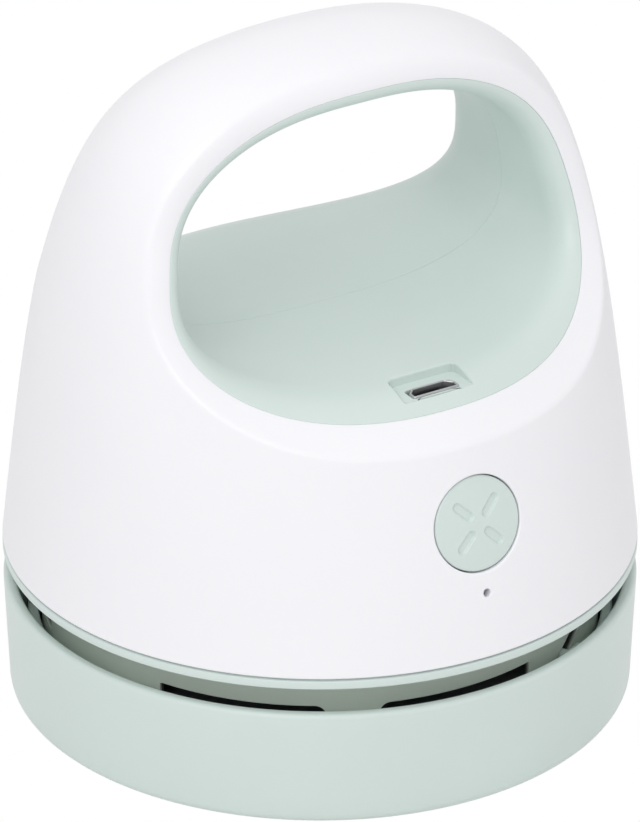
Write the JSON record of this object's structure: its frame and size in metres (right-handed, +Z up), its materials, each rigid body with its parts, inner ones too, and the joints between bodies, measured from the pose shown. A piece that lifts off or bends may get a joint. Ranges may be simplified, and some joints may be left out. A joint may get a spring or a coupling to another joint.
{
  "type": "desktop mini vacuum cleaner",
  "caption": "Small kettle-shaped desk vacuum with a loop handle, side power button, ring-shaped air outlet and a twist-off dust cup with brush nozzle underneath.",
  "frame": {"origin": "centre of the box's bottom face, which is the table under the dust cup", "axes": "+Z up, -Y the front with the power button, X along the handle"},
  "size_m": [0.092, 0.092, 0.102],
  "materials": {
    "shell_white": "fine satin, white",
    "mint": "satin, pale mint green",
    "grey_plastic": "matt, dark grey",
    "black_plastic": "matt, black",
    "ivory_plastic": "satin",
    "steel": "plated",
    "brass": "tinned stamping",
    "cell_wrap": "shrink sleeve, plain",
    "board_green": "solder mask",
    "led_lens": "clear, slightly milky",
    "filter_felt": "felted fibre",
    "seal_rubber": "matt",
    "bristle_nylon": "nylon filaments"
  },
  "bodies": {
    "cup": {"dust_cup": "mint", "suction_nozzle": "grey_plastic", "brush_front": "bristle_nylon", "brush_rear": "bristle_nylon", "seal_ring": "seal_rubber"},
    "filter": {"filter_frame": "grey_plastic", "filter_mesh": "filter_felt"},
    "housing": {"upper_shell": "shell_white", "liner_front": "mint", "liner_rear": "mint", "fan_housing": "mint", "inner_frame": "grey_plastic", "motor_can": "steel", "motor_end_cap": "black_plastic", "motor_terminals": "brass", "motor_screws": "steel", "battery_cell": "cell_wrap", "battery_tabs": "steel", "control_board": "board_green", "board_screws": "steel", "tact_switch": "black_plastic", "status_led": "led_lens", "charge_socket": "steel", "socket_core": "black_plastic", "charge_board": "board_green", "charge_board_screws": "steel", "shell_screws": "steel"},
    "button": {"power_button": "mint"},
    "plunger": {"switch_plunger": "ivory_plastic"},
    "rotor": {"impeller": "black_plastic", "motor_shaft": "steel"}
  },
  "joints": [
    {"name": "cup_lift", "type": "slide", "parent": "cup", "child": "filter", "axis": [0, 0, 1], "range_m": [0, 0.007]},
    {"name": "cup_twist", "type": "hinge", "parent": "filter", "child": "housing", "pos_m": [0, 0, 0.02], "axis": [0, 0, 1], "range_deg": [0, 14.9]},
    {"name": "button_press", "type": "slide", "parent": "housing", "child": "button", "axis": [0, 0.9708, -0.2398], "range_m": [0, 0.0005], "stiffness_N_per_m": 1500, "springref_m": -0.0006},
    {"name": "plunger_press", "type": "slide", "parent": "housing", "child": "plunger", "axis": [0, 0.9708, -0.2398], "range_m": [0, 0.0005]},
    {"name": "rotor_spin", "type": "hinge", "parent": "housing", "child": "rotor", "pos_m": [0, 0, 0.02], "axis": [0, 0, 1], "continuous": true}
  ],
  "couplings": [
    {"joint": "cup_twist", "follows": "cup_lift", "rad_per_m": 37.037},
    {"joint": "plunger_press", "follows": "button_press", "ratio": 1}
  ]
}
